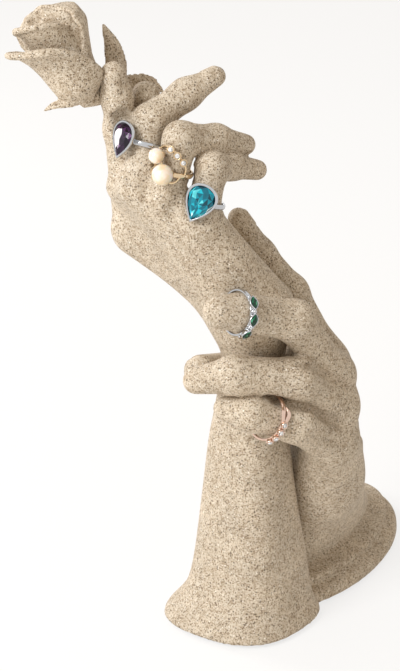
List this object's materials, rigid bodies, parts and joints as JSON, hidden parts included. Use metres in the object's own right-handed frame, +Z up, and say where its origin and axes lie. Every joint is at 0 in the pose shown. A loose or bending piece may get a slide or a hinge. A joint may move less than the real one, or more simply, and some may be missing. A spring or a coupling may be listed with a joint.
{
  "type": "hand jewelry display",
  "caption": "Cast resin jewelry display: a life-size raised hand pinches a rose while another hand clasps its wrist, with removable gem and pearl rings on the fingers.",
  "frame": {"origin": "centre of the bounding box's bottom face, on the surface the display stands on", "axes": "+Z up along the raised hand, -Y to the front where the back of the raised hand is seen, +X to the viewer's right"},
  "size_m": [0.1754, 0.1626, 0.2906],
  "materials": {
    "cast_resin": "matte cream resin with fine dark, brown and pale stone specks",
    "foot_foam": "matte dark foam",
    "silver": "polished silver",
    "yellow_gold": "polished yellow gold plate",
    "rose_gold": "polished rose gold plate",
    "amethyst": "cut and polished purple stone",
    "blue_topaz": "cut and polished blue stone",
    "emerald": "cut and polished green stone",
    "crystal": "clear cut stone",
    "pearl": "lustrous nacre"
  },
  "bodies": {
    "display": {"raised_hand_casting": "cast_resin", "clasping_hand_casting": "cast_resin", "rose_casting": "cast_resin", "front_foot_pad": "foot_foam", "rear_foot_pad": "foot_foam"},
    "amethyst_ring": {"amethyst_ring_band": "silver", "amethyst_ring_stone": "amethyst"},
    "pearl_ring": {"pearl_ring_band": "yellow_gold", "pearl_ring_small_pearl": "pearl", "pearl_ring_large_pearl": "pearl", "pearl_ring_crystal_1": "crystal", "pearl_ring_crystal_2": "crystal", "pearl_ring_crystal_3": "crystal"},
    "topaz_ring": {"topaz_ring_band": "silver", "topaz_ring_stone": "blue_topaz"},
    "emerald_ring": {"emerald_ring_band": "silver", "emerald_ring_stone_1": "emerald", "emerald_ring_clear_stone_1": "crystal", "emerald_ring_stone_2": "emerald", "emerald_ring_clear_stone_2": "crystal", "emerald_ring_stone_3": "emerald"},
    "rose_gold_ring": {"rose_gold_ring_band": "rose_gold", "rose_gold_ring_stone_1": "crystal", "rose_gold_ring_stone_2": "crystal", "rose_gold_ring_stone_3": "crystal", "rose_gold_ring_stone_4": "crystal"}
  },
  "joints": [
    {"name": "amethyst_ring_slide", "type": "slide", "parent": "display", "child": "amethyst_ring", "axis": [0.1724, 0.2299, 0.9578], "range_m": [0, 0.004]},
    {"name": "pearl_ring_slide", "type": "slide", "parent": "display", "child": "pearl_ring", "axis": [0.2142, 0.0779, 0.9737], "range_m": [0, 0.0015]},
    {"name": "topaz_ring_slide", "type": "slide", "parent": "display", "child": "topaz_ring", "axis": [0.1616, 0.1847, 0.9694], "range_m": [0, 0.004]},
    {"name": "emerald_ring_slide", "type": "slide", "parent": "display", "child": "emerald_ring", "axis": [-0.9129, -0.3652, 0.1826], "range_m": [0, 0.005]},
    {"name": "rose_gold_ring_slide", "type": "slide", "parent": "display", "child": "rose_gold_ring", "axis": [-0.8997, -0.2841, 0.3315], "range_m": [0, 0.004]}
  ]
}
